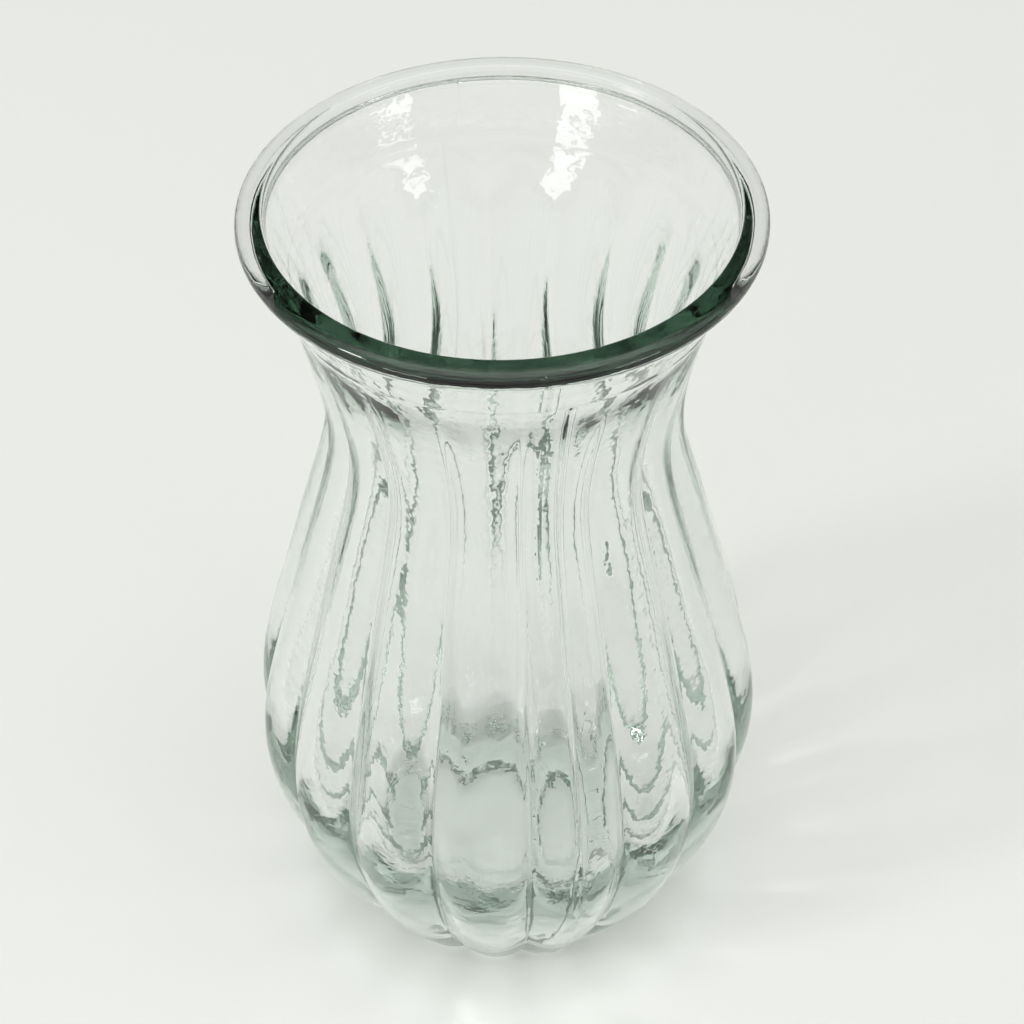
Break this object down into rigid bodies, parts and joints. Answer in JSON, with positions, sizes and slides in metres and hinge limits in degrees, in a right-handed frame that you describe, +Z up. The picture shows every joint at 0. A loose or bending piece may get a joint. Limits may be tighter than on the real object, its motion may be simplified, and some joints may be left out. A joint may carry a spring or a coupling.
{
  "type": "glass vase",
  "caption": "Clear glass vase with a round lobed belly, a lobed waist, a plain flared collar and a rolled rim on a heavy base; holds cut flowers and water.",
  "frame": {"origin": "centre of the foot, on the table plane", "axes": "+Z up the vase's axis; -Y towards a valley between two lobes, which faces the viewer; +X to the viewer's right"},
  "size_m": [0.1384, 0.1384, 0.2449],
  "materials": {
    "glass": "clear soda-lime glass with a faint green tint, fire-polished"
  },
  "bodies": {
    "root": {"base": "glass", "fluted_belly": "glass", "fluted_shoulder": "glass", "fluted_neck": "glass", "flared_collar": "glass", "rim_bead": "glass"}
  },
  "joints": []
}
